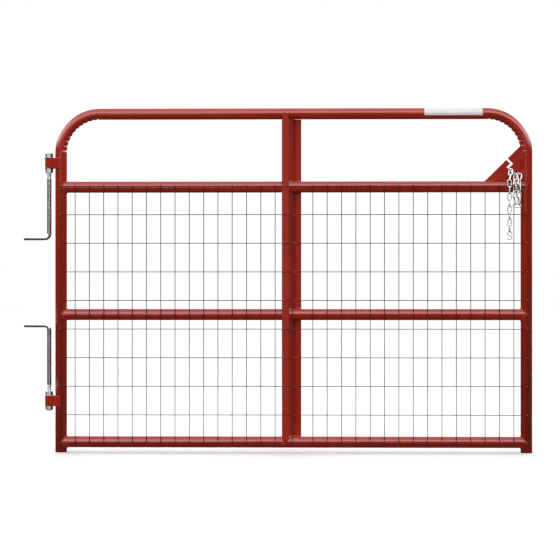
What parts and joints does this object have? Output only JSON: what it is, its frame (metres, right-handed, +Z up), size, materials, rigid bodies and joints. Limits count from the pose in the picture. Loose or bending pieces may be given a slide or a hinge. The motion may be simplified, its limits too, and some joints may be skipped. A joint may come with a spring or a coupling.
{
  "type": "livestock panel gate",
  "caption": "Bent-tube livestock gate with welded mesh infill, centre brace, strap-eye hinges on J-bolts and a latch chain hung in a zigzag gusset slot.",
  "frame": {"origin": "on the hinge line, the vertical axis of the two strap eyes, level with the open ends of the legs", "axes": "+X from the hinge side to the latch side, +Y away from the mesh side, +Z up"},
  "size_m": [1.8096, 0.0714, 1.2263],
  "materials": {
    "red_paint": "gloss enamel over welded steel tube, sheet and wire",
    "hardware_zinc": "zinc plated steel",
    "chain_zinc": "zinc plated chain steel",
    "white_label": "blank adhesive label"
  },
  "bodies": {
    "gate": {"frame_tube": "red_paint", "upper_rail": "red_paint", "middle_rail": "red_paint", "bottom_rail": "red_paint", "centre_brace": "red_paint", "mesh_left_uprights": "red_paint", "mesh_left_lines": "red_paint", "mesh_right_uprights": "red_paint", "mesh_right_lines": "red_paint", "latch_gusset": "red_paint", "rail_label": "white_label", "hinge_strap_top": "red_paint", "hinge_strap_bottom": "red_paint", "chain_anchor": "chain_zinc", "chain_slot_link_low": "chain_zinc", "chain_slot_link_high": "chain_zinc"},
    "hinge_bolt_top": {"hinge_bolt_top": "hardware_zinc"},
    "hinge_bolt_bottom": {"hinge_bolt_bottom": "hardware_zinc"},
    "nut_top_upper": {"nut_top_upper": "hardware_zinc"},
    "nut_top_lower": {"nut_top_lower": "hardware_zinc"},
    "nut_bottom_upper": {"nut_bottom_upper": "hardware_zinc"},
    "nut_bottom_lower": {"nut_bottom_lower": "hardware_zinc"},
    "washer_top_upper": {"washer_top_upper": "hardware_zinc"},
    "washer_top_lower": {"washer_top_lower": "hardware_zinc"},
    "washer_bottom_upper": {"washer_bottom_upper": "hardware_zinc"},
    "chain_back_link": {"chain_back_link": "chain_zinc"},
    "chain_up_link_1": {"chain_up_link_1": "chain_zinc"},
    "chain_up_link_2": {"chain_up_link_2": "chain_zinc"},
    "chain_up_link_3": {"chain_up_link_3": "chain_zinc"},
    "chain_up_link_4": {"chain_up_link_4": "chain_zinc"},
    "chain_up_link_5": {"chain_up_link_5": "chain_zinc"},
    "chain_down_link_1": {"chain_down_link_1": "chain_zinc"},
    "chain_down_link_2": {"chain_down_link_2": "chain_zinc"},
    "chain_down_link_3": {"chain_down_link_3": "chain_zinc"},
    "chain_down_link_4": {"chain_down_link_4": "chain_zinc"},
    "chain_down_link_5": {"chain_down_link_5": "chain_zinc"},
    "chain_loop_link": {"chain_loop_link": "chain_zinc"},
    "chain_tail_link_01": {"chain_tail_link_01": "chain_zinc"},
    "chain_tail_link_02": {"chain_tail_link_02": "chain_zinc"},
    "chain_tail_link_03": {"chain_tail_link_03": "chain_zinc"},
    "chain_tail_link_04": {"chain_tail_link_04": "chain_zinc"},
    "chain_tail_link_05": {"chain_tail_link_05": "chain_zinc"},
    "chain_tail_link_06": {"chain_tail_link_06": "chain_zinc"},
    "chain_tail_link_07": {"chain_tail_link_07": "chain_zinc"},
    "chain_tail_link_08": {"chain_tail_link_08": "chain_zinc"},
    "chain_tail_link_09": {"chain_tail_link_09": "chain_zinc"},
    "chain_tail_link_10": {"chain_tail_link_10": "chain_zinc"},
    "chain_end_hook": {"chain_end_hook": "chain_zinc"}
  },
  "joints": [
    {"name": "hinge_bolt_top_turn", "type": "hinge", "parent": "gate", "child": "hinge_bolt_top", "pos_m": [0, 0, 1.03], "axis": [0, 0, 1], "range_deg": [-130, 130]},
    {"name": "hinge_bolt_bottom_turn", "type": "hinge", "parent": "gate", "child": "hinge_bolt_bottom", "pos_m": [0, 0, 0.182], "axis": [0, 0, 1], "range_deg": [-130, 130]},
    {"name": "nut_top_upper_spin", "type": "hinge", "parent": "hinge_bolt_top", "child": "nut_top_upper", "pos_m": [0, 0, 1.05775], "axis": [0, 0, 1], "continuous": true},
    {"name": "nut_top_lower_spin", "type": "hinge", "parent": "hinge_bolt_top", "child": "nut_top_lower", "pos_m": [0, 0, 1.00225], "axis": [0, 0, 1], "continuous": true},
    {"name": "nut_bottom_upper_spin", "type": "hinge", "parent": "hinge_bolt_bottom", "child": "nut_bottom_upper", "pos_m": [0, 0, 0.20975], "axis": [0, 0, 1], "continuous": true},
    {"name": "nut_bottom_lower_spin", "type": "hinge", "parent": "hinge_bolt_bottom", "child": "nut_bottom_lower", "pos_m": [0, 0, 0.15695], "axis": [0, 0, 1], "continuous": true},
    {"name": "washer_top_upper_spin", "type": "hinge", "parent": "hinge_bolt_top", "child": "washer_top_upper", "pos_m": [0, 0, 1.0494], "axis": [0, 0, 1], "continuous": true},
    {"name": "washer_top_lower_spin", "type": "hinge", "parent": "hinge_bolt_top", "child": "washer_top_lower", "pos_m": [0, 0, 1.0106], "axis": [0, 0, 1], "continuous": true},
    {"name": "washer_bottom_upper_spin", "type": "hinge", "parent": "hinge_bolt_bottom", "child": "washer_bottom_upper", "pos_m": [0, 0, 0.2014], "axis": [0, 0, 1], "continuous": true},
    {"name": "back_link_swing", "type": "hinge", "parent": "gate", "child": "chain_back_link", "pos_m": [1.65125, -0.00035, 0.99425], "axis": [0, 1, 0], "range_deg": [0, 4]},
    {"name": "up_link_1_swing", "type": "hinge", "parent": "gate", "child": "chain_up_link_1", "pos_m": [1.65925, -0.01852, 0.9861], "axis": [-1, 0, 0], "range_deg": [0, 5]},
    {"name": "up_link_2_swing", "type": "hinge", "parent": "chain_up_link_1", "child": "chain_up_link_2", "pos_m": [1.65607, -0.02866, 0.96621], "axis": [-1, 0, 0], "range_deg": [0, 14]},
    {"name": "up_link_3_swing", "type": "hinge", "parent": "chain_up_link_2", "child": "chain_up_link_3", "pos_m": [1.65462, -0.03659, 0.94567], "axis": [-1, 0, 0], "range_deg": [0, 9]},
    {"name": "up_link_4_swing", "type": "hinge", "parent": "chain_up_link_3", "child": "chain_up_link_4", "pos_m": [1.65462, -0.03659, 0.92312], "axis": [-1, 0, 0], "range_deg": [0, 9]},
    {"name": "up_link_5_swing", "type": "hinge", "parent": "chain_up_link_4", "child": "chain_up_link_5", "pos_m": [1.65462, -0.03659, 0.90057], "axis": [-1, 0, 0], "range_deg": [0, 14]},
    {"name": "down_link_1_swing", "type": "hinge", "parent": "gate", "child": "chain_down_link_1", "pos_m": [1.67425, -0.01852, 0.9861], "axis": [-1, 0, 0], "range_deg": [0, 5]},
    {"name": "down_link_2_swing", "type": "hinge", "parent": "chain_down_link_1", "child": "chain_down_link_2", "pos_m": [1.67107, -0.02866, 0.96621], "axis": [-1, 0, 0], "range_deg": [0, 14]},
    {"name": "down_link_3_swing", "type": "hinge", "parent": "chain_down_link_2", "child": "chain_down_link_3", "pos_m": [1.66962, -0.03659, 0.94567], "axis": [-1, 0, 0], "range_deg": [0, 9]},
    {"name": "down_link_4_swing", "type": "hinge", "parent": "chain_down_link_3", "child": "chain_down_link_4", "pos_m": [1.66962, -0.03659, 0.92312], "axis": [-1, 0, 0], "range_deg": [0, 9]},
    {"name": "down_link_5_swing", "type": "hinge", "parent": "chain_down_link_4", "child": "chain_down_link_5", "pos_m": [1.66962, -0.03659, 0.90057], "axis": [-1, 0, 0], "range_deg": [0, 14]},
    {"name": "loop_link_swing", "type": "hinge", "parent": "chain_up_link_5", "child": "chain_loop_link", "pos_m": [1.65462, -0.03659, 0.87802], "axis": [0, 1, 0], "range_deg": [-6, 0]},
    {"name": "tail_link_01_swing", "type": "hinge", "parent": "gate", "child": "chain_tail_link_01", "pos_m": [1.64227, -0.01852, 1.00307], "axis": [0, 1, 0], "range_deg": [0, 10]},
    {"name": "tail_link_02_swing", "type": "hinge", "parent": "chain_tail_link_01", "child": "chain_tail_link_02", "pos_m": [1.63909, -0.02866, 0.98319], "axis": [-0.9397, 0.342, 0], "range_deg": [0, 20]},
    {"name": "tail_link_03_swing", "type": "hinge", "parent": "chain_tail_link_02", "child": "chain_tail_link_03", "pos_m": [1.63579, -0.03599, 0.96264], "axis": [0, 1, 0], "range_deg": [0, 10]},
    {"name": "tail_link_04_swing", "type": "hinge", "parent": "chain_tail_link_03", "child": "chain_tail_link_04", "pos_m": [1.63579, -0.03599, 0.94009], "axis": [-1, 0, 0], "range_deg": [0, 20]},
    {"name": "tail_link_05_swing", "type": "hinge", "parent": "chain_tail_link_04", "child": "chain_tail_link_05", "pos_m": [1.63579, -0.03599, 0.91754], "axis": [0, 1, 0], "range_deg": [0, 10]},
    {"name": "tail_link_06_swing", "type": "hinge", "parent": "chain_tail_link_05", "child": "chain_tail_link_06", "pos_m": [1.63579, -0.03599, 0.89499], "axis": [-1, 0, 0], "range_deg": [0, 20]},
    {"name": "tail_link_07_swing", "type": "hinge", "parent": "chain_tail_link_06", "child": "chain_tail_link_07", "pos_m": [1.63579, -0.03599, 0.87244], "axis": [0, 1, 0], "range_deg": [-12, 12]},
    {"name": "tail_link_08_swing", "type": "hinge", "parent": "chain_tail_link_07", "child": "chain_tail_link_08", "pos_m": [1.63579, -0.03599, 0.84989], "axis": [-1, 0, 0], "range_deg": [0, 20]},
    {"name": "tail_link_09_swing", "type": "hinge", "parent": "chain_tail_link_08", "child": "chain_tail_link_09", "pos_m": [1.63579, -0.03599, 0.82734], "axis": [0, 1, 0], "range_deg": [-12, 12]},
    {"name": "tail_link_10_swing", "type": "hinge", "parent": "chain_tail_link_09", "child": "chain_tail_link_10", "pos_m": [1.63579, -0.03599, 0.80479], "axis": [-1, 0, 0], "range_deg": [0, 20]},
    {"name": "end_hook_swing", "type": "hinge", "parent": "chain_tail_link_10", "child": "chain_end_hook", "pos_m": [1.63579, -0.03599, 0.78224], "axis": [0, 1, 0], "range_deg": [-30, 30]}
  ],
  "couplings": [
    {"joint": "down_link_1_swing", "follows": "up_link_1_swing", "ratio": 1},
    {"joint": "down_link_2_swing", "follows": "up_link_2_swing", "ratio": 1},
    {"joint": "down_link_3_swing", "follows": "up_link_3_swing", "ratio": 1},
    {"joint": "down_link_4_swing", "follows": "up_link_4_swing", "ratio": 1},
    {"joint": "down_link_5_swing", "follows": "up_link_5_swing", "ratio": 1}
  ]
}
